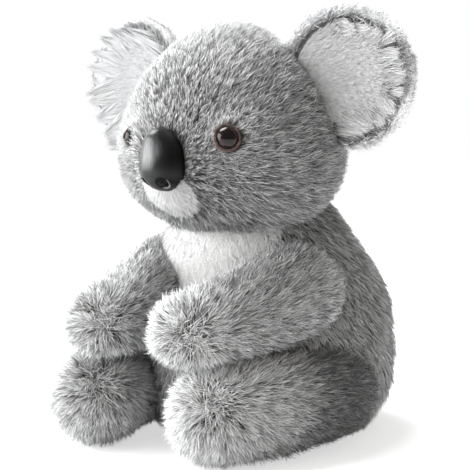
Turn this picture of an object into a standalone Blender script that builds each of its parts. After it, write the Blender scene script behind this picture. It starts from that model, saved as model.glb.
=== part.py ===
"""A seated plush koala, built as it is sewn: fur skins with an open end at each seam, the stuffing
inside them, safety eyes and a safety nose on posts with washers, and ears of two fabrics.

Lengths are metres. +Z is up, the koala faces -Y and its left side is +X. It sits on the floor at
Z = 0, and the Z axis runs up through its seat.
"""

from math import cos, exp, pi, radians, sin

import bmesh
import bpy
from mathutils import Matrix, Vector
from mathutils.bvhtree import BVHTree

# Fabric and clearances
SKIN = 0.003
GAP = 0.0003
PRESS_DEPTH = 0.0005
OVERRUN = 0.02

# Torso: a pear with a rounded back, widest low down, that leans forward at the neck
TORSO_WIDTH = 0.170
TORSO_DEPTH = 0.160
TORSO_TOP = 0.162
TORSO_WIDEST_HEIGHT = 0.054
TORSO_KEEL = 0.068
TORSO_BACKSET = 0.016
TORSO_HUNCH = 0.010
TORSO_CROWN_SHARES = (1.45, 2.0)
TORSO_BASE_SHARES = (3.2, 2.0)
NECK_OPENING = 0.044
NECK_START = 0.123
NECK_BACKSET = 0.014
NECK_HEIGHT = 0.150
NECK_WAD_DIAMETER = 0.032

# White bib on the chest, and the pouch of beans in the seat
BIB_WIDTH = 0.080
BIB_BOTTOM = 0.045
BIB_HEIGHT = 0.150
POUCH_WIDTH = 0.112
POUCH_THICKNESS = 0.024

# Head: an egg on its broad end, with full cheeks and a low muzzle
HEAD_WIDTH = 0.145
HEAD_DEPTH = 0.124
HEAD_FORWARD = 0.017
CHEEK_HEIGHT = 0.170
CROWN_RISE = 0.078
CHIN_DROP = 0.050
HEAD_CROWN_SHARES = (1.75, 1.8)
HEAD_CHIN_SHARES = (2.0, 2.0)
MUZZLE_HEIGHT = 0.152
MUZZLE_RISE = 0.006
MUZZLE_SPREAD = 0.017
NECK_NOD = radians(5)

# White chin patch under the nose
CHIN_WIDTH = 0.038
CHIN_TOP = 0.162
CHIN_BOTTOM = 0.134

# Nose: an egg-shaped shell with a flat back, on a post
NOSE_WIDTH = 0.028
NOSE_TOP = 0.187
NOSE_BOTTOM = 0.150
NOSE_WIDEST_HEIGHT = 0.164
NOSE_PROTRUSION = 0.016
NOSE_SHARES = (2.0, 2.0)
NOSE_SEAT = 0.0012
NOSE_POST_LENGTH = 0.011

# Eyes: domed safety eyes on posts, over a suede ring
EYE_SPACING = 0.068
EYE_HEIGHT = 0.180
EYE_DIAMETER = 0.012
EYE_DOME = 0.0048
RING_DIAMETER = 0.0155
RING_THICKNESS = 0.0012
POST_DIAMETER = 0.003
EYE_POST_LENGTH = 0.0105
WASHER_DIAMETER = 0.013
WASHER_THICKNESS = 0.002
WASHER_SLACK = 0.0022

# Ears: flat round pads, grey behind and white in front
EAR_WIDTH = 0.086
EAR_HEIGHT = 0.082
EAR_THICKNESS = 0.022
EAR_OUTWARD = 0.075
EAR_FORWARD = 0.010
EAR_CENTRE_HEIGHT = 0.213
EAR_EDGE_SHARE = 0.7
PAD_SHARES = (2.0, 2.0)
EAR_FACING_OUT = radians(8)
EAR_FOLD = radians(20)
EAR_HINGE_OUTWARD = 0.056
LINING_WIDTH = 0.062
LINING_HEIGHT = 0.062
LINING_DEPTH = 0.007

# Arms: from inside the shoulder, over the thigh, to a round paw. They lie on the legs' tops
LEG_TOP = 0.060
SHOULDER = (0.047, 0.004, 0.098)
ELBOW = (0.045, -0.056, 0.071)
PAW = (0.0235, -0.120, 0.076)
ARM_ROOT_RADIUS = 0.033
PAW_RADIUS = 0.0222
ARM_END_SHARE = 6.0
ARM_RAISE = radians(12)

# Legs: from inside the hip along the floor to a big round foot
HIP = (0.056, 0.020, 0.034)
KNEE = (0.070, -0.045, 0.031)
FOOT = (0.0298, -0.116, 0.0285)
HIP_RADIUS = 0.034
FOOT_RADIUS = 0.029
LEG_END_SHARE = 6.0
LEG_SPLAY = radians(15)

# Facets round and along each form, outside and inside
TORSO_FACETS = (40, 20)
HEAD_FACETS = (34, 20)
LIMB_FACETS = (20, 16)
EAR_FACETS = (22, 10)
NOSE_FACETS = (20, 12)
INNER_FACETS = (18, 10)
INNER_LIMB_FACETS = (12, 9)
POUCH_FACETS = (16, 8)
WAD_FACETS = (16, 10)
TURNED_FACETS = 14

FUR_GREY = (0.30, 0.32, 0.34, 1)
EAR_GREY = (0.24, 0.25, 0.27, 1)
PILE_WHITE = (0.86, 0.86, 0.85, 1)
CHARCOAL = (0.018, 0.020, 0.024, 1)
EYE_BROWN = (0.030, 0.014, 0.009, 1)
SUEDE = (0.24, 0.15, 0.12, 1)
FIBRE_WHITE = (0.80, 0.80, 0.78, 1)
LINEN = (0.62, 0.58, 0.50, 1)
WASHER_WHITE = (0.75, 0.75, 0.73, 1)


def clear_scene():
    """Removes every object the file opens with."""
    for obj in list(bpy.data.objects):
        bpy.data.objects.remove(obj)


def paint(name, colour, roughness):
    """A plain material of one colour."""
    made = bpy.data.materials.new(name)
    made.use_nodes = True
    shader = made.node_tree.nodes["Principled BSDF"]
    shader.inputs["Base Color"].default_value = colour
    shader.inputs["Roughness"].default_value = roughness
    shader.inputs["Metallic"].default_value = 0
    made.diffuse_color = colour
    return made


def swell(share, profile_shares):
    """How wide a form is, as a share of its widest, at a share of the way from there to its end."""
    fullness, roundness = profile_shares
    return max(0, 1 - share**fullness) ** (1 / roundness)


def torso_point(turn, climb):
    """A point of the torso: a pear, pressed flat underneath, that is truly round at the neck."""
    share = abs(sin(climb * pi / 2))
    if climb > 0:
        height = TORSO_WIDEST_HEIGHT + (TORSO_TOP - TORSO_WIDEST_HEIGHT) * share
        width = swell(share, TORSO_CROWN_SHARES)
    else:
        height = TORSO_WIDEST_HEIGHT - TORSO_KEEL * share
        width = swell(share, TORSO_BASE_SHARES)
    up_share = (height - TORSO_WIDEST_HEIGHT) / (NECK_START - TORSO_WIDEST_HEIGHT)
    up_share = min(max(up_share, 0), 1)
    middle = TORSO_BACKSET + (NECK_BACKSET - TORSO_BACKSET) * up_share
    middle += TORSO_HUNCH * sin(pi * up_share) ** 2
    rounding = up_share**2 * (3 - 2 * up_share) * (TORSO_WIDTH - TORSO_DEPTH) / 4
    return Vector((
        (TORSO_WIDTH / 2 - rounding) * width * cos(turn),
        middle + (TORSO_DEPTH / 2 + rounding) * width * sin(turn),
        max(height, -PRESS_DEPTH),
    ))


def head_point(turn, climb):
    """A point of the head: an egg with the muzzle swelling forward low on the face."""
    share = abs(sin(climb * pi / 2))
    if climb > 0:
        height = CHEEK_HEIGHT + CROWN_RISE * share
        width = swell(share, HEAD_CROWN_SHARES)
    else:
        height = CHEEK_HEIGHT - CHIN_DROP * share
        width = swell(share, HEAD_CHIN_SHARES)
    x = HEAD_WIDTH / 2 * width * cos(turn)
    y = HEAD_DEPTH / 2 * width * sin(turn)
    away = (x**2 + (height - MUZZLE_HEIGHT) ** 2) / (2 * MUZZLE_SPREAD**2)
    muzzle = MUZZLE_RISE * exp(-away) if y < 0 else 0
    return Vector((x, y - muzzle - HEAD_FORWARD, height))


def nose_point(turn, climb):
    """A point of the nose: an egg, broad end down, round in front."""
    share = abs(sin(climb * pi / 2))
    reach = NOSE_TOP - NOSE_WIDEST_HEIGHT if climb > 0 else NOSE_BOTTOM - NOSE_WIDEST_HEIGHT
    width = swell(share, NOSE_SHARES)
    front = -HEAD_FORWARD - HEAD_DEPTH / 2
    return Vector((
        NOSE_WIDTH / 2 * width * cos(turn),
        front + NOSE_PROTRUSION * width * sin(turn),
        NOSE_WIDEST_HEIGHT + reach * share,
    ))


def ear_frame(side):
    """Where an ear stands: its centre, turned so that its front looks slightly outward."""
    centre = Vector((side * EAR_OUTWARD, -EAR_FORWARD, EAR_CENTRE_HEIGHT))
    return Matrix.Translation(centre) @ Matrix.Rotation(side * EAR_FACING_OUT, 4, "Z")


def pad_point(width, thickness, height, edge_share=1):
    """A maker of points on a round pad that stands upright round its own centre. The lower its
    edge share, the thicker it is towards its top and bottom."""
    def point(turn, climb):
        share = sin(climb * pi / 2)
        round_share = swell(abs(share), PAD_SHARES)
        return Vector((
            width / 2 * round_share * cos(turn),
            thickness / 2 * round_share**edge_share * sin(turn),
            height / 2 * share,
        ))
    return point


def limb_point(route, root_radius, tip_radius, end_share, side, floor_height, ceiling_height):
    """A maker of points on a limb: a swept roll with round ends along a bent centre line, pressed
    flat where it lies on something and where something lies on it."""
    start, middle, end = (Vector((side * x, y, z)) for x, y, z in route)

    def point(turn, climb):
        share = sin(climb * pi / 2)
        along = (share + 1) / 2
        centre = (1 - along) ** 2 * start + 2 * along * (1 - along) * middle + along**2 * end
        heading = ((1 - along) * (middle - start) + along * (end - middle)).normalized()
        across = Vector((0, 0, 1)).cross(heading).normalized()
        upward = heading.cross(across)
        radius = root_radius + (tip_radius - root_radius) * along
        radius *= swell(abs(share), (end_share, 2))
        made = centre + radius * (cos(turn) * across + sin(turn) * upward)
        made.z = min(max(made.z, floor_height), ceiling_height)
        return made
    return point


def arm_point(side):
    """A maker of points on one arm."""
    return limb_point((SHOULDER, ELBOW, PAW), ARM_ROOT_RADIUS, PAW_RADIUS, ARM_END_SHARE, side,
                      LEG_TOP + GAP, TORSO_TOP)


def leg_point(side):
    """A maker of points on one leg."""
    return limb_point((HIP, KNEE, FOOT), HIP_RADIUS, FOOT_RADIUS, LEG_END_SHARE, side,
                      -PRESS_DEPTH, LEG_TOP)


def form(point, facets, grow=0.0, pose=None):
    """A closed form: rings of points between two poles, grown outward by a distance, then posed."""
    around, along = facets
    shape = bmesh.new()
    rings = []
    for level in range(1, along):
        climb = 2 * level / along - 1
        rings.append([shape.verts.new(point(2 * pi * i / around, climb)) for i in range(around)])
    poles = shape.verts.new(point(0, -1)), shape.verts.new(point(0, 1))
    for i in range(around):
        after = (i + 1) % around
        shape.faces.new((poles[0], rings[0][after], rings[0][i]))
        shape.faces.new((poles[1], rings[-1][i], rings[-1][after]))
        for low, high in zip(rings, rings[1:]):
            shape.faces.new((low[i], low[after], high[after], high[i]))
    bmesh.ops.triangulate(shape, faces=shape.faces, quad_method="FIXED")
    bmesh.ops.recalc_face_normals(shape, faces=shape.faces)
    shape.normal_update()
    for vert in shape.verts:
        vert.co += vert.normal * grow
    if pose:
        bmesh.ops.transform(shape, matrix=pose, verts=shape.verts)
    return shape


def turned(profile, facets, frame, closed=False):
    """A turned piece: a profile of radius and height spun about the frame's Z axis."""
    shape = bmesh.new()
    rings = [
        [shape.verts.new((r * cos(2 * pi * i / facets), r * sin(2 * pi * i / facets), h))
         for i in range(facets)]
        for r, h in profile
    ]
    pairs = list(zip(rings, rings[1:])) + ([(rings[-1], rings[0])] if closed else [])
    for low, high in pairs:
        for i in range(facets):
            after = (i + 1) % facets
            shape.faces.new((low[i], low[after], high[after], high[i]))
    if not closed:
        shape.faces.new(rings[0])
        shape.faces.new(rings[-1])
    bmesh.ops.recalc_face_normals(shape, faces=shape.faces)
    bmesh.ops.transform(shape, matrix=frame, verts=shape.verts)
    return shape


def box(low, high):
    """A box between two corners."""
    shape = bmesh.new()
    bmesh.ops.create_cube(shape, size=1)
    size = Vector(high) - Vector(low)
    middle = (Vector(high) + Vector(low)) / 2
    bmesh.ops.transform(
        shape, matrix=Matrix.Translation(middle) @ Matrix.Diagonal(size).to_4x4(), verts=shape.verts
    )
    return shape


def oval_prism(width, bottom, top, front, back, facets=32):
    """An upright oval, extruded from front to back along Y."""
    middle = Vector((0, front, (top + bottom) / 2))
    frame = Matrix.Translation(middle) @ Matrix.Rotation(-pi / 2, 4, "X")
    shape = turned([(1, 0), (1, 1)], facets, Matrix.Identity(4))
    scale = Matrix.Diagonal((width / 2, (top - bottom) / 2, back - front, 1))
    bmesh.ops.transform(shape, matrix=frame @ scale, verts=shape.verts)
    bmesh.ops.recalc_face_normals(shape, faces=shape.faces)
    return shape


def stands_at(empty):
    """Where an empty is in the world, its parents counted."""
    return empty.location + (stands_at(empty.parent) if empty.parent else Vector())


def place(name, shape, material, carrier=None):
    """Makes an object of a shape given in world coordinates, hung from an empty where it has one."""
    if carrier:
        bmesh.ops.translate(shape, vec=-stands_at(carrier), verts=shape.verts)
    mesh = bpy.data.meshes.new(name)
    shape.to_mesh(mesh)
    shape.free()
    mesh.shade_smooth()
    mesh.set_sharp_from_angle(angle=radians(40))
    obj = bpy.data.objects.new(name, mesh)
    bpy.context.collection.objects.link(obj)
    obj.parent = carrier
    if material:
        mesh.materials.append(material)
    return obj


def pivot(name, location):
    """An empty on a joint's axis, from which a moving part hangs."""
    made = bpy.data.objects.new(name, None)
    made.location = location
    made.empty_display_size = SKIN
    bpy.context.collection.objects.link(made)
    return made


def guide(name, shape):
    """A cutting shape, which is no piece of the toy."""
    made = place(name, shape, None)
    made.hide_render = True
    made.display_type = "WIRE"
    return made


def shape_with(obj, tools, operation="DIFFERENCE"):
    """Cuts an object with each tool, or keeps what it shares with them, or joins them to it."""
    for tool in tools:
        step = obj.modifiers.new(tool.name, "BOOLEAN")
        step.operation = operation
        step.object = tool
        step.solver = "EXACT"


def turn_about(axis_point, axis, angle):
    """The pose that a turn about an axis through a point gives."""
    shift = Matrix.Translation(axis_point)
    return shift @ Matrix.Rotation(angle, 4, axis) @ shift.inverted()


def in_steps(low, high, steps):
    """Evenly spaced values from low to high, both ends included."""
    return [low + (high - low) * i / steps for i in range(steps + 1)]


def surface_frame(tree, x, height, side=1):
    """A frame on the face of the head, its Z axis straight out of the fabric."""
    start = Vector((side * x, -HEAD_FORWARD - HEAD_DEPTH, height))
    spot, normal, _, _ = tree.ray_cast(start, Vector((0, 1, 0)))
    return Matrix.Translation(spot) @ normal.to_track_quat("Z", "Y").to_matrix().to_4x4()


def safety_post(frame, head_profile, length):
    """A turned safety part: its outer profile, then a straight post into the head."""
    radius = POST_DIAMETER / 2
    return turned([*head_profile, (radius, head_profile[-1][1]), (radius, -length)],
                  TURNED_FACETS, frame)


def washer(frame, depth):
    """A locking washer on a post, its outer face at a depth below the frame."""
    inner = POST_DIAMETER / 2 + GAP
    outer = WASHER_DIAMETER / 2
    low = -depth - WASHER_THICKNESS
    profile = [(inner, low), (outer, low), (outer, -depth), (inner, -depth)]
    return turned(profile, TURNED_FACETS, frame, closed=True)


def round_hole(frame, radius, low, high):
    """A round cutter along a frame's Z axis."""
    return turned([(radius, low), (radius, high)], TURNED_FACETS, frame)


clear_scene()

fur = paint("grey_fur", FUR_GREY, 0.9)
ear_fur = paint("dark_grey_fur", EAR_GREY, 0.9)
white_pile = paint("white_pile", PILE_WHITE, 0.9)
nose_finish = paint("charcoal_plastic", CHARCOAL, 0.32)
eye_finish = paint("brown_black_plastic", EYE_BROWN, 0.06)
suede = paint("brown_suede", SUEDE, 0.85)
fibre = paint("polyester_fibre", FIBRE_WHITE, 1.0)
linen = paint("pouch_cloth", LINEN, 0.95)
washer_finish = paint("white_plastic", WASHER_WHITE, 0.5)

neck_spot = Vector((0, NECK_BACKSET, NECK_HEIGHT))
neck = pivot("neck_turn_pivot", neck_spot)
head = pivot("neck_nod_pivot", neck_spot)
head.parent = neck
head.location = (0, 0, 0)
shoulders = {s: pivot(f"shoulder_pivot_{n}", Vector((s * SHOULDER[0], SHOULDER[1], SHOULDER[2])))
             for s, n in ((1, "left"), (-1, "right"))}
hips = {s: pivot(f"hip_pivot_{n}", Vector((s * HIP[0], HIP[1], HIP[2])))
        for s, n in ((1, "left"), (-1, "right"))}
SIDES = ((1, "left"), (-1, "right"))

floor = guide("floor_cut", box(
    (-TORSO_WIDTH, -TORSO_DEPTH - OVERRUN, -OVERRUN), (TORSO_WIDTH, TORSO_DEPTH + OVERRUN, 0)))

# Torso
torso_inside = guide("torso_inside", form(torso_point, INNER_FACETS, -SKIN))
neck_hole = guide("neck_hole", turned(
    [(NECK_OPENING / 2, NECK_START), (NECK_OPENING / 2, TORSO_TOP + OVERRUN)],
    TURNED_FACETS, Matrix.Translation((neck_spot.x, neck_spot.y, 0))))
bib_top = BIB_BOTTOM + BIB_HEIGHT
front = -TORSO_DEPTH
bib_oval = guide("bib_oval", oval_prism(BIB_WIDTH, BIB_BOTTOM, bib_top, front, 0))
bib_slot = guide("bib_slot", oval_prism(
    BIB_WIDTH + 2 * GAP, BIB_BOTTOM - GAP, bib_top + GAP, front, GAP))

torso_skin = place("torso_skin", form(torso_point, TORSO_FACETS), fur)
shape_with(torso_skin, [torso_inside, floor, neck_hole, bib_slot])
chest_bib = place("chest_bib", form(torso_point, TORSO_FACETS), white_pile)
shape_with(chest_bib, [torso_inside, neck_hole])
shape_with(chest_bib, [bib_oval], "INTERSECT")

pouch_height = SKIN - PRESS_DEPTH + GAP + POUCH_THICKNESS / 2
pouch_frame = Matrix.Translation((0, TORSO_BACKSET, pouch_height))
pouch_shape = pad_point(POUCH_WIDTH, POUCH_WIDTH, POUCH_THICKNESS)
bean_pouch = place("bean_pouch", form(pouch_shape, POUCH_FACETS, 0, pouch_frame), linen)
pouch_room = guide("pouch_room", form(pouch_shape, POUCH_FACETS, GAP, pouch_frame))
torso_stuffing = place("torso_stuffing", form(torso_point, INNER_FACETS, -SKIN - GAP), fibre)
wad_frame = Matrix.Translation(neck_spot)
wad_shape = pad_point(NECK_WAD_DIAMETER, NECK_WAD_DIAMETER, NECK_WAD_DIAMETER)
neck_stuffing = place("neck_stuffing", form(wad_shape, WAD_FACETS, 0, wad_frame), fibre, neck)
wad_room = guide("wad_room", form(wad_shape, WAD_FACETS, 2 * GAP, wad_frame))
shape_with(torso_stuffing, [pouch_room, wad_room])

# Head
head_inside = guide("head_inside", form(head_point, INNER_FACETS, -SKIN))
neck_nods = [turn_about(neck_spot, "X", a) for a in in_steps(-NECK_NOD, NECK_NOD, 2)]
head_seats = [guide(f"neck_seat_{i}", form(torso_point, TORSO_FACETS, GAP, pose))
              for i, pose in enumerate(neck_nods)]
fine_head = form(head_point, (HEAD_FACETS[0] * 3, HEAD_FACETS[1] * 3))
face = BVHTree.FromBMesh(fine_head)
fine_head.free()
chin_oval = guide("chin_oval", oval_prism(
    CHIN_WIDTH, CHIN_BOTTOM, CHIN_TOP, -HEAD_DEPTH - OVERRUN, -HEAD_FORWARD))
chin_slot = guide("chin_slot", oval_prism(
    CHIN_WIDTH + 2 * GAP, CHIN_BOTTOM - GAP, CHIN_TOP + GAP, -HEAD_DEPTH - OVERRUN,
    GAP - HEAD_FORWARD))

nose_back = -HEAD_FORWARD - HEAD_DEPTH / 2 + NOSE_SEAT
nose_frame = Matrix.Translation((0, nose_back, NOSE_WIDEST_HEIGHT)) @ Matrix.Rotation(
    pi / 2, 4, "X")
nose_cut = guide("nose_back_cut", box(
    (-NOSE_WIDTH, nose_back, NOSE_BOTTOM - OVERRUN), (NOSE_WIDTH, OVERRUN, NOSE_TOP + OVERRUN)))
nose_post = guide("nose_post", round_hole(
    nose_frame, POST_DIAMETER / 2, -NOSE_POST_LENGTH, NOSE_PROTRUSION / 2))
nose = place("nose", form(nose_point, NOSE_FACETS), nose_finish, head)
shape_with(nose, [nose_cut])
shape_with(nose, [nose_post], "UNION")
nose_seat_cut = guide("nose_seat_cut", box(
    (-NOSE_WIDTH, nose_back + GAP, NOSE_BOTTOM - OVERRUN),
    (NOSE_WIDTH, OVERRUN, NOSE_TOP + OVERRUN)))
nose_room = guide("nose_room", form(nose_point, NOSE_FACETS, GAP))
shape_with(nose_room, [nose_seat_cut])
nose_hole = guide("nose_hole", round_hole(
    nose_frame, POST_DIAMETER / 2 + GAP, -NOSE_POST_LENGTH - GAP, NOSE_PROTRUSION / 2))

spots = {s: surface_frame(face, EYE_SPACING / 2, EYE_HEIGHT, s) for s, _ in SIDES}
face_holes = [nose_room, nose_hole]
inner_rooms = [nose_room, nose_hole]
washer_depth = SKIN + WASHER_SLACK
for s, n in SIDES:
    frame = spots[s]
    eye_radius = EYE_DIAMETER / 2
    ring_radius = RING_DIAMETER / 2
    lip = RING_THICKNESS / 2
    arc = [(eye_radius * cos(a), lip + GAP + EYE_DOME * sin(a))
           for a in in_steps(radians(85), 0, 4)]
    place(f"eye_{n}", safety_post(frame, arc, EYE_POST_LENGTH), eye_finish, head)
    hole_radius = POST_DIAMETER / 2 + GAP
    ring = [(hole_radius, lip - RING_THICKNESS), (ring_radius, lip - RING_THICKNESS),
            (ring_radius, lip), (hole_radius, lip)]
    place(f"eye_ring_{n}", turned(ring, TURNED_FACETS, frame, closed=True), suede, head)
    seat = round_hole(frame, ring_radius + GAP, lip - RING_THICKNESS - GAP, RING_THICKNESS)
    face_holes.append(guide(f"eye_seat_{n}", seat))
    hole = round_hole(frame, hole_radius, -EYE_POST_LENGTH - GAP, RING_THICKNESS)
    face_holes.append(guide(f"eye_hole_{n}", hole))
    inner_rooms.append(face_holes[-1])
    place(f"eye_washer_{n}", washer(frame, washer_depth), washer_finish, head)
    room = round_hole(frame, WASHER_DIAMETER / 2 + GAP,
                      -washer_depth - WASHER_THICKNESS - GAP, RING_THICKNESS)
    inner_rooms.append(guide(f"eye_washer_room_{n}", room))
place("nose_washer", washer(nose_frame, washer_depth), washer_finish, head)
inner_rooms.append(guide("nose_washer_room", round_hole(
    nose_frame, WASHER_DIAMETER / 2 + GAP, -washer_depth - WASHER_THICKNESS - GAP,
    NOSE_PROTRUSION / 2)))

head_skin = place("head_skin", form(head_point, HEAD_FACETS), fur, head)
shape_with(head_skin, [head_inside, *head_seats, chin_slot, *face_holes])
chin_patch = place("chin_patch", form(head_point, HEAD_FACETS), white_pile, head)
shape_with(chin_patch, [head_inside, *head_seats])
shape_with(chin_patch, [chin_oval], "INTERSECT")
shape_with(chin_patch, face_holes[:2])
head_stuffing = place("head_stuffing", form(head_point, INNER_FACETS, -SKIN - GAP), fibre, head)
shape_with(head_stuffing, [*head_seats, wad_room, *inner_rooms])

# Ears
ear_shape = pad_point(EAR_WIDTH, EAR_THICKNESS, EAR_HEIGHT, EAR_EDGE_SHARE)
lining_shape = pad_point(LINING_WIDTH, 2 * LINING_DEPTH, LINING_HEIGHT, EAR_EDGE_SHARE)
for s, n in SIDES:
    stand = ear_frame(s)
    hinge_spot = Vector((s * EAR_HINGE_OUTWARD, -EAR_FORWARD, EAR_CENTRE_HEIGHT))
    ear_pivot = pivot(f"ear_pivot_{n}", hinge_spot)
    ear_pivot.parent = head
    ear_pivot.location = hinge_spot - neck_spot
    dish = stand @ Matrix.Translation((0, -EAR_THICKNESS / 2, 0))
    folds = [turn_about(hinge_spot, "Z", a) for a in in_steps(-EAR_FOLD, EAR_FOLD, 2)]
    ear_seats = [guide(f"ear_seat_{n}_{i}", form(head_point, HEAD_FACETS, GAP, pose))
                 for i, pose in enumerate(folds)]
    pad = guide(f"lining_form_{n}", form(lining_shape, EAR_FACETS, 0, dish))
    pad_room = guide(f"lining_room_{n}", form(lining_shape, EAR_FACETS, GAP, dish))
    back = place(f"ear_back_{n}", form(ear_shape, EAR_FACETS, 0, stand), ear_fur,
                 ear_pivot)
    shape_with(back, [pad_room, *ear_seats])
    lining = place(f"ear_lining_{n}", form(ear_shape, EAR_FACETS, 0, stand), white_pile,
                   ear_pivot)
    shape_with(lining, [pad], "INTERSECT")
    shape_with(lining, ear_seats)

# Legs and arms
LIMBS = {
    "leg": (leg_point, HIP, hips, "Z", in_steps(0, LEG_SPLAY, 1)),
    "arm": (arm_point, SHOULDER, shoulders, "X", in_steps(0, -ARM_RAISE, 3)),
}
for part, (maker, root, pivots, axis, swings) in LIMBS.items():
    for s, n in SIDES:
        shape = maker(s)
        spot = pivots[s].location
        mirror = s if axis == "Z" else 1
        poses = [turn_about(spot, axis, mirror * a).inverted() for a in swings]
        seats = [guide(f"{part}_seat_{n}_{i}", form(torso_point, TORSO_FACETS, GAP, pose))
                 for i, pose in enumerate(poses)]
        inside = guide(f"{part}_inside_{n}", form(shape, INNER_LIMB_FACETS, -SKIN))
        skin = place(f"{part}_skin_{n}", form(shape, LIMB_FACETS), fur, pivots[s])
        shape_with(skin, [inside, *seats])
        if part == "leg":
            shape_with(skin, [floor])
        stuffing = place(f"{part}_stuffing_{n}", form(shape, INNER_LIMB_FACETS, -SKIN - GAP),
                         fibre, pivots[s])
        shape_with(stuffing, seats)
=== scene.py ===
"""A seated stuffed koala on a pale floor: stuffed pelts with their pile in single strands that
gather in tufts, a white bib, chin and ear linings, a moulded nose and domed eyes.

Every shape is worked out with numpy as a function of two numbers: turn, once round the piece, and
climb, from -1 at its lower or inner end to 1 at its upper or outer end.
"""

from itertools import product
from math import atan, cos, pi, radians, sin

import bpy
import numpy as np
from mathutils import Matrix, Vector


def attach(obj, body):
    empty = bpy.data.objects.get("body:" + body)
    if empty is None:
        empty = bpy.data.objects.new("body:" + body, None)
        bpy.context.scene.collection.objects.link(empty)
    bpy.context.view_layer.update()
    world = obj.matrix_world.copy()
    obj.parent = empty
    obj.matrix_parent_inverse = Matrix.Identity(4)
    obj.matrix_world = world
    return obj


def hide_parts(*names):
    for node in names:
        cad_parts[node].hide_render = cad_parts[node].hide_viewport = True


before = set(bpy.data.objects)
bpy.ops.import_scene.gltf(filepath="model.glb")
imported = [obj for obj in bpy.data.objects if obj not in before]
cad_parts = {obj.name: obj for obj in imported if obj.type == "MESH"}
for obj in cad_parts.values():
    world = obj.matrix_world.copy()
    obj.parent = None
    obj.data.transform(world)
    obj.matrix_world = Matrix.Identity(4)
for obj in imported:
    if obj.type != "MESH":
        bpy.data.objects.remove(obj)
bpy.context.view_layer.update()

SIDES = (("left", 1), ("right", -1))
MAP = "OFBake"

# The distance given for places that lie off the part of a form that is measured
FAR_OFF = 0.05

# Camera, and the width of its view for each metre away
AZIMUTH, ELEVATION, DISTANCE = radians(34.5), radians(5.5), 0.8
AIM = np.array((0.004, -0.017, 0.120))
VIEW_WIDTH_SHARE = 470 / 1333
LAMP_TINT = (0.97, 0.985, 1.0)

# Body shapes, in metres, as the solids have them: heights of the widest rings and how far a form
# goes on above and below them, places, half sizes, and how deep each eye sits in the pile
TORSO_WIDEST, TORSO_RISE, TORSO_DROP = 0.054, 0.108, 0.068
TORSO_SHOULDER = 0.069
HEAD_WIDEST, HEAD_RISE, HEAD_DROP, HEAD_AHEAD = 0.170, 0.078, 0.050, 0.017
MUZZLE_HEIGHT, MUZZLE_SPREAD, MUZZLE_SWELL = 0.152, 0.017, 0.006
EAR_CENTRE = np.array((0.075, -0.010, 0.213))
EAR_HALF = np.array((0.043, 0.011, 0.041))
EAR_FACING_OUT = radians(8)
EAR_DISH = 0.75
EYE_SPOT = (0.0350, 0.1798)
EYES_OUTWARD = radians(20)
EYES_SUNK = {1: 0.0022, -1: 0.0038}
NOSE_SPOT = np.array((0.0, -0.088, 0.166))
NOSE_WIDEST, NOSE_RISE, NOSE_DROP = 0.163, 0.0228, 0.014
NOSE_HALF_WIDTH, NOSE_DEPTH = 0.0135, 0.0208
NOSE_FOOT, NOSE_BACK = -0.0757, -0.0746
NOSE_ENDS = np.array(((0, NOSE_BACK, 0.149), (0, -0.0780, 0.1835)))
NOSTRIL = (0.0058, 0.1548)
CHIN_SPOT = np.array((0.0, -0.075, 0.1474))
LIMBS = {
    "arm": {
        "route": ((0.047, 0.004, 0.098), (0.045, -0.056, 0.071), (0.0235, -0.120, 0.076)),
        "radii": (0.033, 0.0222), "flats": (0.0603, 0.162),
    },
    "leg": {
        "route": ((0.056, 0.020, 0.034), (0.070, -0.045, 0.031), (0.0298, -0.116, 0.0285)),
        "radii": (0.034, 0.029), "flats": (0.0, 0.060),
    },
}

# Where the pile swirls on a paw or foot, on the left and on the right
SWIRLS = {"arm": ((0.0442, -0.1154, 0.0745), (0.0162, -0.1142, 0.0806)),
          "leg": ((0.0549, -0.1096, 0.0454), (0.0258, -0.1060, 0.0456))}

# Hearts of the ears' locks: angles from outward, and shares of the ear's half width and height
LEFT_LOCKS = (np.radians((-68, -50, -33, -17, -3, 12, 27, 41, 56, 72, 90, 110)), *np.tile(
    (0.72, 0.78, 0.70, 0.79, 0.69, 0.77, 0.68, 0.76, 0.68, 0.74, 0.70, 0.70), (2, 1)))
RIGHT_LOCKS = (np.array((1.75, 2.16, 2.42, 2.84, 3.28, 3.52, 3.94, 4.34)), 0.74, 0.78)


def unit(vectors):
    """Each vector divided by its length."""
    return vectors / np.maximum(np.linalg.norm(vectors, axis=-1, keepdims=True), 1e-12)


def dot(a, b):
    """The sum of products along the last axis, kept as a column."""
    return (a * b).sum(-1, keepdims=True)


def ease(low, high, x):
    """0 below low, 1 above high, and 3t^2 - 2t^3 between them."""
    t = np.clip((x - low) / (high - low), 0, 1)
    return t * t * (3 - 2 * t)


def swell(share, fullness, roundness):
    """(1 - share^fullness)^(1/roundness): how wide a form is on the way to its end."""
    return np.clip(1 - np.clip(share, 0, 1) ** fullness, 0, 1) ** (1 / roundness)


def level_at(climb, widest, rise, drop):
    """The height of a ring: the widest ring's, and from there a rise or a drop times the sine of
    climb."""
    share = np.abs(np.sin(climb * pi / 2))
    return np.where(climb > 0, widest + rise * share, widest - drop * share)


def torso_ring(height):
    """Half width, half depth and middle of the torso's level ring at a height: a superellipse
    profile above and below the widest ring, that leans forward and turns round at the neck."""
    above, below = (height - TORSO_WIDEST) / TORSO_RISE, (TORSO_WIDEST - height) / TORSO_DROP
    width = np.where(height > TORSO_WIDEST, swell(above, 1.45, 2.0), swell(below, 3.2, 2.0))
    up = np.clip((height - TORSO_WIDEST) / TORSO_SHOULDER, 0, 1)
    middle = 0.016 - 0.002 * up + 0.010 * np.sin(pi * up) ** 2
    rounding = 0.0025 * up**2 * (3 - 2 * up)
    return (0.085 - rounding) * width, (0.080 + rounding) * width, middle


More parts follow.
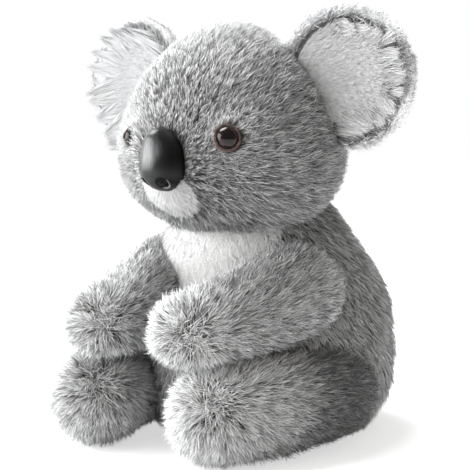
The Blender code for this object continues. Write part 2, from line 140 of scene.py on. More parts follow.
def torso(turn, climb):
    """The torso: its level rings stacked, with height a sine of climb."""
    height = level_at(climb, TORSO_WIDEST, TORSO_RISE, TORSO_DROP)
    wide, deep, middle = torso_ring(height)
    return np.stack([wide * np.cos(turn), middle + deep * np.sin(turn),
                     np.maximum(height, 0)], -1)


def bib_level(points):
    """Below 1 inside the bib's oval, on the chest only."""
    level = np.hypot(points[:, 0] / 0.040, (points[:, 2] - 0.120) / 0.075)
    return np.where(points[:, 1] < 0.010, level, 9.0)


def torso_front(x, z):
    """The torso's front over a place in x and z: y = middle - depth sqrt(1 - (x / width)^2)."""
    wide, deep, middle = torso_ring(z)
    return np.stack([x, middle - deep * np.sqrt(np.clip(1 - (x / wide) ** 2, 0, 1)), z], -1)


def head_ring(height):
    """Half width and half depth of the head's level ring at a height."""
    above, below = (height - HEAD_WIDEST) / HEAD_RISE, (HEAD_WIDEST - height) / HEAD_DROP
    width = np.where(height > HEAD_WIDEST, swell(above, 1.75, 1.8), swell(below, 2.0, 2.0))
    return 0.0725 * width, 0.062 * width


def muzzle(x, y, z):
    """How far the muzzle swells forward: a Gaussian round its middle, on the face only."""
    away = (x**2 + (z - MUZZLE_HEIGHT) ** 2) / (2 * MUZZLE_SPREAD**2)
    return MUZZLE_SWELL * np.exp(-away) * ease(0, 0.02, -y)


def head(turn, climb):
    """The head: its level rings stacked, less the muzzle's swelling."""
    height = level_at(climb, HEAD_WIDEST, HEAD_RISE, HEAD_DROP)
    wide, deep = head_ring(height)
    x, y = wide * np.cos(turn), deep * np.sin(turn)
    return np.stack([x, y - muzzle(x, y, height) - HEAD_AHEAD, height], -1)


def head_front(x, z):
    """The face over a place in x and z."""
    wide, deep = head_ring(z)
    y = -deep * np.sqrt(np.clip(1 - (x / wide) ** 2, 0, 1))
    return np.stack([x, y - muzzle(x, y, z) - HEAD_AHEAD, z], -1)


def limb(kind, side):
    """A limb: circles along a quadratic Bezier curve, their radius falling from root to tip and
    rounded at both ends, clamped between two heights where it lies on something."""
    start, middle, end = (np.array((side * x, y, z)) for x, y, z in LIMBS[kind]["route"])
    root, tip = LIMBS[kind]["radii"]
    low, high = LIMBS[kind]["flats"]

    def surface(turn, climb):
        """Climb goes along the curve as a sine, and turn goes round it."""
        share = np.sin(climb * pi / 2)
        along = ((share + 1) / 2)[..., None]
        centre = (1 - along) ** 2 * start + 2 * along * (1 - along) * middle + along**2 * end
        heading = unit((1 - along) * (middle - start) + along * (end - middle))
        across = unit(np.cross(np.array((0, 0, 1.0)), heading))
        upward = np.cross(heading, across)
        radius = (root + (tip - root) * along) * swell(np.abs(share), 6, 2)[..., None]
        turn = turn[..., None]
        made = centre + radius * (np.cos(turn) * across + np.sin(turn) * upward)
        made[..., 2] = np.clip(made[..., 2], low, high)
        return made
    return surface


def limb_gap(kind, side, points):
    """How far points lie outside a limb: the least distance to its centre line less its radius."""
    start, middle, end = (np.array((side * x, y, z)) for x, y, z in LIMBS[kind]["route"])
    root, tip = LIMBS[kind]["radii"]
    gap = np.full(len(points), np.inf)
    for t in np.linspace(0.12, 0.88, 20):
        centre = (1 - t) ** 2 * start + 2 * t * (1 - t) * middle + t**2 * end
        away = np.linalg.norm(points - centre, axis=1) - (root + (tip - root) * t)
        gap = np.minimum(gap, away)
    return gap


def torso_gap(points):
    """How far points lie outside the torso, measured level: (level - 1) times its half width."""
    x, y, z = points.T
    wide, deep, middle = torso_ring(z)
    level = np.hypot(x / np.maximum(wide, 1e-4), (y - middle) / np.maximum(deep, 1e-4))
    return np.where(z > TORSO_WIDEST + TORSO_RISE, FAR_OFF, (level - 1) * (wide + deep) / 2)


def head_gap(points):
    """How far points lie outside the head, measured level."""
    x, y, z = points.T
    wide, deep = head_ring(z)
    level = np.hypot(x / np.maximum(wide, 1e-4), (y + HEAD_AHEAD) / np.maximum(deep, 1e-4))
    inside = (z > HEAD_WIDEST - HEAD_DROP) & (z < HEAD_WIDEST + HEAD_RISE)
    return np.where(inside, (level - 1) * (wide + deep) / 2, FAR_OFF)


def stand_ear(local, side):
    """Ear coordinates turned to face slightly outward and put at the side of the head."""
    angle = side * EAR_FACING_OUT
    x, y, z = np.moveaxis(local, -1, 0)
    placed = np.stack([x * cos(angle) - y * sin(angle), x * sin(angle) + y * cos(angle), z], -1)
    return placed + EAR_CENTRE * (side, 1, 1)


def in_ear(points, side):
    """Points of the world in ear coordinates, as shares of the ear's half sizes."""
    angle = side * EAR_FACING_OUT
    x, y, z = (points - EAR_CENTRE * (side, 1, 1)).T
    return np.stack([x * cos(angle) + y * sin(angle), y * cos(angle) - x * sin(angle), z],
                    -1) / EAR_HALF


def dished(x, y, z):
    """The ear's front pressed in: y times 1 - dish (1 - x^2 - z^2), in shares of its size."""
    inside = np.clip(1 - x**2 - z**2, 0, 1)
    return np.where(y < 0, y * (1 - EAR_DISH * inside), y)


def ear(side):
    """An ear: a round pad, thicker at its edge than an ellipsoid and dished in front."""
    def surface(turn, climb):
        share = np.sin(climb * pi / 2)
        wide = swell(np.abs(share), 2, 2)
        x, y = wide * np.cos(turn), wide**0.7 * np.sin(turn)
        return stand_ear(np.stack([x, dished(x, y, share), share], -1) * EAR_HALF, side)
    return surface


def ear_front(side):
    """The front of an ear over a place in its own x and z."""
    def front(x, z):
        x, z = x / EAR_HALF[0], z / EAR_HALF[2]
        wide = swell(np.abs(z), 2, 2)
        y = -(wide**0.7) * np.sqrt(np.clip(1 - (x / np.maximum(wide, 1e-4)) ** 2, 0, 1))
        return stand_ear(np.stack([x, dished(x, y, z), z], -1) * EAR_HALF, side)
    return front


def ball(middle, halves, edge=1.0):
    """A round pad: an ellipsoid whose thickness goes as width^edge."""
    def surface(turn, climb):
        share = np.sin(climb * pi / 2)
        wide = swell(np.abs(share), 2, 2)
        return np.array(middle) + np.array(halves) * np.stack(
            [wide * np.cos(turn), wide**edge * np.sin(turn), share], -1)
    return surface


def skin_at(surface, turn, climb):
    """Points, outward normals and area elements: the cross product of the surface's two slopes."""
    step = 1e-3
    safe = np.clip(climb, -0.985, 0.985)
    slope_turn = surface(turn + step, safe) - surface(turn - step, safe)
    slope_climb = surface(turn, safe + step) - surface(turn, safe - step)
    across = np.cross(slope_turn, slope_climb)
    return surface(turn, climb), unit(across), np.linalg.norm(across, axis=-1) / (4 * step**2)


def build(name, points, faces, material, body, uv=None, normals=None, **marks):
    """Makes a smooth piece of points and of faces given as rows of point numbers, and lets it ride
    on a body. Marks are numbers kept for its material, one for each point."""
    mesh = bpy.data.meshes.new(name)
    mesh.vertices.add(len(points))
    mesh.vertices.foreach_set("co", np.asarray(points, np.float32).ravel())
    sizes = np.concatenate([np.full(len(f), f.shape[1]) for f in faces])
    corners = np.concatenate([f.ravel() for f in faces]).astype(np.int32)
    mesh.loops.add(len(corners))
    mesh.loops.foreach_set("vertex_index", corners)
    mesh.polygons.add(len(sizes))
    starts = np.concatenate([[0], np.cumsum(sizes)[:-1]]).astype(np.int32)
    mesh.polygons.foreach_set("loop_start", starts)
    mesh.polygons.foreach_set("use_smooth", np.full(len(sizes), True))
    if uv is not None:
        layer = mesh.uv_layers.new(name=MAP)
        layer.uv.foreach_set("vector", uv[corners].astype(np.float32).ravel())
    for mark, values in marks.items():
        layer = mesh.attributes.new(mark, "FLOAT", "POINT")
        layer.data.foreach_set("value", np.asarray(values, np.float32))
    mesh.update(calc_edges=True)
    if normals is not None:
        layer = mesh.attributes.new("custom_normal", "FLOAT_VECTOR", "POINT")
        layer.data.foreach_set("vector", normals.astype(np.float32).ravel())
        mesh.update()
    mesh.materials.append(material)
    piece = bpy.data.objects.new(name, mesh)
    bpy.context.scene.collection.objects.link(piece)
    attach(piece, body)
    return piece


def ring_faces(around, rings, first=0):
    """Quads between rings of points, each ring after the one before."""
    i, j = np.meshgrid(np.arange(around), np.arange(rings - 1))
    i, j = i.ravel(), j.ravel()
    after = (i + 1) % around
    return first + np.stack([j * around + i, j * around + after,
                             (j + 1) * around + after, (j + 1) * around + i], 1)


def closed_form(name, surface, around, along, depth, material, body, low=0.0006, **marks):
    """A closed form: rings of a surface between two poles, each point moved in along its normal by
    a depth, and held above the floor. Marks are functions of its points."""
    climb = np.linspace(-1, 1, along + 1)[1:-1]
    turn = np.arange(around) * 2 * pi / around
    climbs, turns = np.meshgrid(climb, turn, indexing="ij")
    points, normals, _ = skin_at(surface, turns.ravel(), climbs.ravel())
    ends, end_ways, _ = skin_at(surface, np.zeros(2), np.array((-1.0, 1.0)))
    for end, ring in ((0, slice(0, around)), (1, slice(-around, None))):
        end_ways[end] = unit(normals[ring].mean(0))
    points, normals = np.concatenate([points, ends]), np.concatenate([normals, end_ways])
    points = points - normals * depth(points)[:, None]
    points[:, 2] = np.maximum(points[:, 2], low)
    rings = along - 1
    i = np.arange(around)
    after, last = (i + 1) % around, around * rings
    caps = np.concatenate([
        np.stack([np.full(around, last), after, i], 1),
        np.stack([np.full(around, last + 1), last - around + i, last - around + after], 1)])
    marks = {mark: value(points) for mark, value in marks.items()}
    return build(name, points, [ring_faces(around, rings), caps], material, body, **marks)


def patch(name, front, size, middle, depths, material, body, aside=0.0, around=72, rings=24):
    """A thin oval pad on a surface: x and z go round it in rings about the place aside, middle,
    and its two faces lie at two depths, joined at the rim."""
    share = np.linspace(0, 1, rings + 1)[1:]
    angle = np.arange(around) * 2 * pi / around
    shares, angles = np.meshgrid(share, angle, indexing="ij")
    shares, angles = np.append(shares.ravel(), 0), np.append(angles.ravel(), 0)
    x = aside + size[0] / 2 * shares * np.cos(angles)
    z = middle + size[1] / 2 * shares * np.sin(angles)
    step = 1e-4
    here = front(x, z)
    across = front(x + step, z) - front(x - step, z)
    upward = front(x, z + step) - front(x, z - step)
    normals = unit(np.cross(across, upward))
    thick = np.sqrt(np.clip(1 - shares**2, 0, 1))[:, None]
    mean = (depths[0] + depths[1]) / 2
    half = (depths[1] - depths[0]) / 2
    top = here - normals * (mean - half * thick)
    bottom = here - normals * (mean + half * thick)
    outer = around * rings
    i = np.arange(around)
    after = (i + 1) % around
    quads = ring_faces(around, rings)
    cap = np.stack([np.full(around, outer), after, i], 1)
    points = np.concatenate([top, bottom])
    faces = [quads, cap, quads[:, ::-1] + outer + 1, cap[:, ::-1] + outer + 1]
    rim = np.arange(around * (rings - 1), outer)
    merged = np.arange(len(points))
    merged[rim + outer + 1] = rim
    return build(name, points, [merged[f][:, ::-1] for f in faces], material, body)


def turned(name, profile, place, material, body, facets=64):
    """A turned piece: a closed profile of radius and height swept round an axis. place is its
    middle and its axis. It keeps each point's share of the widest radius as an attribute."""
    profile = np.array(profile)
    middle, axis = place
    side = unit(np.cross(axis, np.array((0.0, 0.0, 1.0))))
    upward = np.cross(side, axis)
    angle = (np.arange(facets) * 2 * pi / facets)[None, :, None]
    rounds = side * np.cos(angle) - upward * np.sin(angle)
    body_part = profile[1:-1]
    points = middle + body_part[:, :1, None] * rounds + body_part[:, 1:, None] * axis
    ends = middle + profile[[0, -1], 1:] * axis
    rings = len(body_part)
    i = np.arange(facets)
    after, last = (i + 1) % facets, facets * rings
    caps = np.concatenate([
        np.stack([np.full(facets, last), i, after], 1),
        np.stack([np.full(facets, last + 1), last - facets + after, last - facets + i], 1)])
    share = np.concatenate([np.repeat(body_part[:, 0], facets), [0, 0]]) / profile[:, 0].max()
    high = np.concatenate([np.repeat(body_part[:, 1], facets), profile[[0, -1], 1]])
    return build(name, np.concatenate([points.reshape(-1, 3), ends]),
                 [ring_faces(facets, rings)[:, ::-1], caps], material, body,
                 radius_share=share, height=high)


class Value:
    """A socket with a number in it. Sums on it add Math nodes."""

    def __init__(self, finish, socket):
        self.finish, self.socket = finish, socket

    def sum(self, operation, *terms):
        """A Math node on sockets or numbers."""
        return self.finish.add("ShaderNodeMath", {"operation": operation}, dict(enumerate(terms)))

    def __add__(self, other):
        return self.sum("ADD", self, other)

    def __radd__(self, other):
        return self.sum("ADD", other, self)

    def __sub__(self, other):
        return self.sum("SUBTRACT", self, other)

    def __rsub__(self, other):
        return self.sum("SUBTRACT", other, self)

    def __mul__(self, other):
        return self.sum("MULTIPLY", self, other)

    def __rmul__(self, other):
        return self.sum("MULTIPLY", other, self)


class Finish:
    """A material under construction, with its main shader's fixed values."""

    def __init__(self, name, **fixed):
        self.material = bpy.data.materials.new(name)
        self.material.use_nodes = True
        self.tree = self.material.node_tree
        self.shader = self.tree.nodes["Principled BSDF"]
        for socket, value in fixed.items():
            self.shader.inputs[socket.replace("_", " ")].default_value = value

    def add(self, kind, settings=None, sockets=None, out=0):
        """Any node: its settings first, then values or links for its sockets."""
        node = self.tree.nodes.new(kind)
        for key, value in (settings or {}).items():
            if key == "stops":
                ramp = node.color_ramp
                while len(ramp.elements) < len(value):
                    ramp.elements.new(0.5)
                for element, (position, colour) in zip(ramp.elements, value, strict=True):
                    element.position, element.color = position, (*colour, 1)
            else:
                setattr(node, key, value)
        for key, value in (sockets or {}).items():
            if isinstance(value, Value):
                self.tree.links.new(value.socket, node.inputs[key])
            else:
                node.inputs[key].default_value = value
        return Value(self, node.outputs[out])

    def blend(self, factor, first, second, way="MIX"):
        """Two colours mixed by a factor."""
        return self.add("ShaderNodeMix", {"data_type": "RGBA", "blend_type": way},
                        {0: factor, 6: first, 7: second}, 2)

    def noise(self, scale, detail=4.0, roughness=0.5, stretch=(1, 1, 1), at="Object"):
        """Noise in the piece's own space, in units of 1 / scale metres, stretched by axis."""
        where = self.add("ShaderNodeTexCoord", out=at)
        where = self.add("ShaderNodeMapping", sockets={"Vector": where, "Scale": stretch})
        return self.add("ShaderNodeTexNoise", sockets={
            "Vector": where, "Scale": scale, "Detail": detail, "Roughness": roughness})

    def mark(self, name):
        """The number that each point of the piece keeps under a name."""
        return self.add("ShaderNodeAttribute", {"attribute_name": name}, out=2)

    def paint(self, **sockets):
        """Feeds sockets of the main shader, such as Base_Color, and a bump's height in metres."""
        height = sockets.pop("bump", None)
        if height is not None:
            strength = sockets.pop("strength", 1.0)
            bump = self.add("ShaderNodeBump", sockets={
                "Height": height, "Strength": strength, "Distance": 0.001})
            sockets["Normal"] = bump
        for socket, value in sockets.items():
            self.tree.links.new(value.socket, self.shader.inputs[socket.replace("_", " ")])
        return self.material


def pile_finish(name, stops, spread, roughness=0.8):
    """Strands of pile: a ramp from root to tip on the map's v, and darker or lighter strands by
    its u, from 1 - spread to 1 + spread."""
    finish = Finish(name, Roughness=roughness, Specular_IOR_Level=0.25)
    place = finish.add("ShaderNodeUVMap", {"uv_map": MAP})
    tone = finish.add("ShaderNodeSeparateXYZ", sockets={0: place})
    along = Value(finish, tone.socket.node.outputs[1])
    ramp = finish.add("ShaderNodeValToRGB", {"stops": stops}, {0: along})
    shade = 1 - spread + tone * (2 * spread)
    return finish.paint(Base_Color=finish.blend(1.0, ramp, shade, "MULTIPLY"))


def backing_finish(name, dark, light):
    """The cloth that the pile stands in: two tones in patches of a few millimetres."""
    finish = Finish(name, Roughness=1.0, Specular_IOR_Level=0.1)
    mottle = finish.noise(260.0, 6.0, 0.7)
    fine = finish.noise(1500.0, 2.0)
    tint = finish.blend(mottle, (*dark, 1), (*light, 1))
    return finish.paint(Base_Color=tint, bump=fine + mottle, strength=0.8)


def fading_backing(name, mark, dark, pale):
    """Cloth under pile that fades from one pair of greys to a paler pair after a mark."""
    finish = Finish(name, Roughness=1.0, Specular_IOR_Level=0.1)
    mottle = finish.noise(260.0, 6.0, 0.7)
    pairs = [finish.blend(mottle, *((grey, grey, grey * 0.99, 1) for grey in pair))
             for pair in (dark, pale)]
    tint = finish.blend(finish.mark(mark), *pairs)
    return finish.paint(Base_Color=tint, bump=mottle, strength=0.8)


def suede_finish():
    """Brown suede, brushed lighter in places, with a fine nap."""
    finish = Finish("brown_suede", Roughness=0.9, Specular_IOR_Level=0.2)
    nap = finish.noise(2600.0, 3.0, 0.6)
    patchy = finish.noise(420.0, 3.0)
    tint = finish.add("ShaderNodeValToRGB", {"stops": [
        (0.30, (0.060, 0.038, 0.033)), (0.50, (0.150, 0.103, 0.090)),
        (0.72, (0.340, 0.262, 0.235))]}, {0: patchy * 0.7 + nap * 0.3})
    return finish.paint(Base_Color=tint, bump=nap, strength=0.5)


def nose_finish():
    """Charcoal moulding with a painted highlight that fades towards its edge and also sets where
    the clear coat lies, fine upright streaks, a painted glint low on each nostril's lip, and
    nostrils painted near black (painted shade in the holes) and shinier."""
    finish = Finish("charcoal_moulding", Specular_IOR_Level=0.2, Coat_Roughness=0.28,
                    Coat_IOR=1.7)
    bloom, nostril, worn = (finish.mark(name) for name in ("bloom", "nostril", "worn"))
    streak = finish.noise(900.0, 4.0, 0.6, (1.0, 1.0, 0.08))
    grain = finish.noise(2400.0, 3.0)
    # The base colour's ramp is a painted highlight: the charcoal is lightened where the highlight
    # mark is high.
    lit = finish.add("ShaderNodeValToRGB", {"stops": [
        (0.0, (0.001, 0.001, 0.001)), (0.40, (0.012, 0.0125, 0.0125)),
        (1.0, (0.160, 0.166, 0.164))]}, {0: bloom * (0.35 + streak * 1.1)})
    # Nostrils painted near black: painted shade in the holes.
    tint = finish.blend(nostril, lit, (0.003, 0.003, 0.003, 1))
    # A pale crescent low on each nostril's lip: a painted glint.
    tint = finish.blend(worn, tint, (0.40, 0.40, 0.39, 1))
    rough = 0.30 + streak * 0.12 - nostril * 0.14
    sheen = bloom * (1 - nostril) * 0.48
    return finish.paint(Base_Color=tint, Roughness=rough, Coat_Weight=sheen, bump=grain,
                        strength=0.12)


def eye_finish():
    """A dark domed eye: a black middle, a brown ring round it and a black edge, under a clear
    polished coat."""
    finish = Finish("eye_moulding", Roughness=0.3, Coat_Weight=1.0, Coat_Roughness=0.02,
                    Coat_IOR=1.38, Specular_IOR_Level=0.0)
    share = finish.mark("radius_share")
    fleck = finish.noise(1800.0, 3.0)
    tint = finish.add("ShaderNodeValToRGB", {"stops": [
        (0.0, (0.003, 0.002, 0.002)), (0.42, (0.004, 0.002, 0.002)),
        (0.60, (0.011, 0.005, 0.003)), (0.80, (0.021, 0.010, 0.006)),
        (0.90, (0.004, 0.003, 0.002))]}, {0: share + (fleck - 0.5) * 0.12})
    return finish.paint(Base_Color=tint)


def fibre_finish():
    """Loose white polyester fibre in soft tangles."""
    finish = Finish("polyester_fibre", Roughness=1.0)
    tangle = finish.noise(180.0, 8.0, 0.75)
    tint = finish.blend(tangle, (0.55, 0.55, 0.53, 1), (0.88, 0.88, 0.86, 1))
    return finish.paint(Base_Color=tint, bump=tangle * 3.0)


def cloth_finish():
    """Plain woven cloth: two crossed sets of threads, 0.8 mm apart."""
    finish = Finish("pouch_cloth", Roughness=0.95)
    where = finish.add("ShaderNodeTexCoord", out=3)
    threads = [finish.add("ShaderNodeTexWave", {"bands_direction": way},
                          {"Vector": where, "Scale": 400.0, "Distortion": 0.4}, 1)
               for way in ("X", "Y")]
    weave = threads[0] * 0.5 + threads[1] * 0.5
    tint = finish.blend(weave, (0.42, 0.38, 0.31, 1), (0.70, 0.66, 0.57, 1))
    return finish.paint(Base_Color=tint, bump=weave)


def washer_finish():
    """Moulded white plastic with faint marks."""
    finish = Finish("washer_moulding", Roughness=0.45)
    marks = finish.noise(900.0, 4.0)
    tint = finish.blend(marks, (0.66, 0.66, 0.63, 1), (0.80, 0.80, 0.78, 1))
    return finish.paint(Base_Color=tint, bump=marks, strength=0.1)


def hashed(cells, salt):
    """A number from 0 to 1 for each whole-number cell: the fraction of a large sine."""
    value = np.sin(cells @ np.array((127.1, 311.7, 74.7)) + salt * 19.19) * 43758.5453
    return value - np.floor(value)


def tufts_of(roots, size):
    """The heart of each root's tuft, which is the nearest of one random point in each cell of a
    grid, and that point's cell."""
    base = np.floor(roots / size)
    heart, cell = roots.copy(), base.copy()
    best = np.full(len(roots), np.inf)
    for offset in product((-1, 0, 1), repeat=3):
        near = base + offset
        spot = (near + np.stack([hashed(near, s) for s in (1, 2, 3)], 1)) * size
        away = ((spot - roots) ** 2).sum(1)
        closer = away < best
        best[closer], heart[closer], cell[closer] = away[closer], spot[closer], near[closer]
    return heart, cell


def nearest_heart(roots, hearts):
    """Each root's nearest of some given hearts, and that heart's place in millimetres."""
    nearest = ((roots[:, None] - hearts) ** 2).sum(2).argmin(1)
    return hearts[nearest], np.round(hearts[nearest] * 1000)


def spread_spots(surface, per_mm2, rng):
    """Spots spread evenly over a surface: an even two-number sequence, thinned by area."""
    n = np.arange(20000)
    turn, climb = 2 * pi * (n * 0.7548776662 % 1), 2 * (n * 0.5698402910 % 1) - 1
    area = skin_at(surface, turn, climb)[2]
    top = np.percentile(area, 99.5)
    n = np.arange(int(per_mm2 * 1e6 * 4 * pi * top))
    turn, climb = 2 * pi * (n * 0.7548776662 % 1), 2 * (n * 0.5698402910 % 1) - 1
    points, normals, area = skin_at(surface, turn, climb)
    keep = rng.random(len(n)) < area / top
    return points[keep], normals[keep]


LONG = np.array((0.0, 0.38, 0.72, 1.0))
SHORT = np.array((0.0, 0.55, 1.0))


def pile(name, spots, lay, length, lift, depth, material, body, rng, width, tuft, gather,
         tuft_swing=0.5, swing=0.25, tuft_lift=0.5, droop=0.3, kink=0.12, tone=0.0,
         tuft_tone=0.22, speck=0.15, low=0.0004, levels=LONG):
    """Pile as flat strands, each a strip of triangles that ends in a point. A strand leaves its
    root at the lift angle in the way that the pile lies, bends over, and is drawn to the heart of
    its tuft by gather times v^1.5, where v goes from 0 at its root to 1 at its tip. Strands of a
    tuft share part of their swing, lift, length and tone. The settings are one number for all
    strands or one for each, but for width, droop, kink and low. tuft is the size of the tufts, or
    else the places of their hearts."""
    points, normals = spots
    count = len(points)
    roots = points - normals * np.broadcast_to(depth, count)[:, None]
    heart, cell = tufts_of(roots, tuft) if np.ndim(tuft) == 0 else nearest_heart(roots, tuft)
    turned_by, lifted_by, sized_by, toned_by = (hashed(cell, s) for s in (4, 5, 6, 7))
    ahead = unit(lay - normals * dot(lay, normals))
    angle = ((turned_by - 0.5) * 2 * tuft_swing + rng.normal(0, swing, count))[:, None]
    aside = np.cross(normals, ahead)
    ahead = np.cos(angle) * ahead + np.sin(angle) * aside
    aside = np.cross(normals, ahead)
    rise = np.clip(lift + (lifted_by - 0.5) * tuft_lift + rng.normal(0, 0.15, count), 0.05, 1.5)
    reach = length * (0.78 + 0.4 * sized_by) * rng.uniform(0.7, 1.1, count)
    toward = heart - roots
    toward -= normals * dot(toward, normals)
    v = levels[None, :, None]
    rise, reach = rise[:, None, None], reach[:, None, None]
    bend = rng.normal(0, kink, count)[:, None, None]
    path = (roots[:, None]
            + reach * np.sin(rise) * (v - droop * v**2) * normals[:, None]
            + reach * (np.cos(rise) * v + droop * np.sin(rise) * v**2) * ahead[:, None]
            + reach * bend * v**2 * aside[:, None]
            + np.broadcast_to(gather, count)[:, None, None] * toward[:, None] * v**1.5)
    path[..., 2] = np.maximum(path[..., 2], low)
    along = unit(np.gradient(path, axis=1))
    flat = unit(np.cross(along, normals[:, None]))
    facing = np.cross(flat, along)
    twist = rng.normal(0, 0.45, count)[:, None, None]
    across = np.cos(twist) * flat + np.sin(twist) * facing
    facing = np.cross(across, along)
    half = (width / 2 * rng.uniform(0.7, 1.3, count))[:, None, None] * (1 - v**3)
    shade = 0.5 + tuft_tone * (toned_by - 0.5) + rng.normal(0, speck, count) + tone
    shade = np.clip(shade, 0.03, 0.97)[:, None]
    soft = facing * 0.5 + normals[:, None] * 0.7
    size = 2 * len(levels) - 1
    places, ways = (np.stack([middle - across * out, middle + across * out], 2).reshape(
        count, size + 1, 3)[:, :size] for middle, out in ((path, half), (soft, 0.4)))
    u = shade + np.append(np.tile((-0.015, 0.015), len(levels) - 1), 0)
    v = np.broadcast_to(np.repeat(levels, 2)[:size], (count, size))
    halves = [(a, a + 1, a + 3) if first else (a, a + 3, a + 2)
              for a in range(0, size - 3, 2) for first in (True, False)]
    strip = np.array([*halves, (size - 3, size - 2, size - 1)])
    faces = (np.arange(count)[:, None, None] * size + strip).reshape(-1, 3)
    return build(name, places.reshape(-1, 3), [faces], material, body,
                 uv=np.stack([u, v], -1).reshape(-1, 2), normals=unit(ways).reshape(-1, 3))


# Ramps from root to tip. Most darken towards the root, the grey and lock piles nearly to black:
# painted shade down among the strands.
grey_pile = pile_finish("grey_pile", [
    (0.0, (0.024, 0.022, 0.020)), (0.35, (0.166, 0.162, 0.154)),
    (0.70, (0.480, 0.480, 0.476)), (1.0, (0.800, 0.806, 0.814))], 0.76)
pale_pile = pile_finish("pale_pile", [
    (0.0, (0.36, 0.36, 0.36)), (0.4, (0.66, 0.66, 0.66)), (1.0, (0.92, 0.92, 0.925))], 0.70)
chin_fluff = pile_finish("chin_fluff", [
    (0.0, (0.46, 0.45, 0.44)), (0.4, (0.60, 0.595, 0.59)), (1.0, (0.72, 0.72, 0.72))], 0.14)
white_pile = pile_finish("white_pile", [
    (0.0, (0.80, 0.79, 0.78)), (0.4, (0.90, 0.895, 0.89)), (1.0, (0.94, 0.94, 0.94))], 0.06)
lining_pile = pile_finish("lining_pile", [
    (0.0, (0.36, 0.355, 0.35)), (0.4, (0.58, 0.575, 0.57)), (1.0, (0.74, 0.74, 0.74))], 0.20)
lock_pile = pile_finish("lock_pile", [
    (0.0, (0.07, 0.068, 0.065)), (0.40, (0.44, 0.435, 0.43)), (1.0, (0.88, 0.88, 0.88))], 0.42)
# Pile for the right ear's lining and locks. It is a darker copy of the lining's pile for the ear
# that faces the key light, with darker tips: painted shade.
right_ear_pile_painted_darker = pile_finish("right_ear_pile_painted_darker", [
    (0.0, (0.45, 0.45, 0.45)), (0.5, (0.55, 0.55, 0.55)), (1.0, (0.42, 0.42, 0.425))], 0.20)
ear_backing = fading_backing("ear_backing", "rim", (0.15, 0.24), (0.50, 0.66))
grey_backing = fading_backing("grey_backing", "rear", (0.045, 0.10), (0.17, 0.30))
white_backing = backing_finish("white_backing", (0.72, 0.71, 0.70), (0.84, 0.83, 0.82))
suede = suede_finish()
nose_moulding = nose_finish()
eye_moulding = eye_finish()
fibre = fibre_finish()
pouch_cloth = cloth_finish()
washer_moulding = washer_finish()


def seat_of(side):
    """Where an eye sits on the face, and the way that it looks."""
    x, z = EYE_SPOT
    wide, _ = head_ring(np.array(z))
    turn = np.array([-np.arccos(x / wide) if side > 0 else np.arccos(x / wide) - pi])
    climb = np.array([2 / pi * np.arcsin((z - HEAD_WIDEST) / HEAD_RISE)])
    spot, normal, _ = skin_at(head, turn, climb)
    x, y, z = normal[0]
    angle = side * EYES_OUTWARD
    way = np.array((x * cos(angle) - y * sin(angle), x * sin(angle) + y * cos(angle), z))
    return spot[0] - normal[0] * EYES_SUNK[side], way


eye_seats = {side: seat_of(side) for _, side in SIDES}


def from_eyes(points):
    """The distance to the nearer eye."""
    return np.minimum(*(np.linalg.norm(points - spot, axis=1) for spot, _ in eye_seats.values()))


def from_nose(points):
    """The distance to the nose's outline: an ellipse in x and z, in metres, on the face only."""
    x, y, z = (points - NOSE_SPOT).T
    level = np.hypot(x / 0.0150, z / 0.0195)
    return np.where(y < 0.04, (level - 1) * 0.016, FAR_OFF)


def from_chin(points):
    """The distance to the chin patch's outline, on the face only."""
    x, y, z = (points - CHIN_SPOT).T
    level = np.hypot(x / 0.0134, z / 0.0108)
    return np.where(y < 0.045, (level - 1) * 0.013, FAR_OFF)


def head_depth(points):
    """How deep the head's backing lies under its outline: shallow round the nose."""
    return 0.0012 + 0.0033 * ease(0.0, 0.018, from_nose(points))


def torso_depth(points):
    """How deep the torso's backing lies: shallow under the bib and where it rests on the floor."""
    edge = ease(0.85, 1.15, bib_level(points))
    return 0.0020 + 0.0035 * edge * ease(0.0, 0.02, points[:, 2])


def limb_depth(points):
    """How deep a limb's backing lies."""
    return np.full(len(points), 0.0055)


def fill_depth(points):
    """How deep the stuffing lies under the outline."""
    return np.full(len(points), 0.0068)


def no_depth(points):
    """For a form whose outline is its own."""
    return np.zeros(len(points))


def ear_depth(points):
    """How deep an ear's backing lies: a crease goes round the front between lining and rim."""
    local = in_ear(points, np.sign(points[0, 0]))
    reach = np.hypot(local[:, 0], local[:, 2])
    crease = np.exp(-(((reach - 0.80) / 0.06) ** 2)) * (local[:, 1] < 0)
    return 0.0040 + 0.0018 * crease - 0.0012 * ease(0.88, 1.0, reach)


def rear(points):
    """0 on a form's front and 1 from its middle back, where the pile is seen end on."""
    return ease(-0.035, 0.0, points[:, 1])


def ear_rim(points):
    """1 on an ear's rim and 0 inside it, also a little way round the back."""
    local = in_ear(points, np.sign(points[0, 0]))
    return ease(0.82, 0.92, np.hypot(local[:, 0], local[:, 2]))


def painted_shade_on_lit_side(normals):
    """How far a surface faces the koala's right side, towards the key light, where its coat is
    painted a little darker: painted shade on the lit side.
    """
    return ease(0.60, 0.92, -normals[:, 0])


def stand_in(node, slot):
    """Hides the solid that a piece stands for. slot, what the piece is made of, is not used."""
    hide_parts(node)


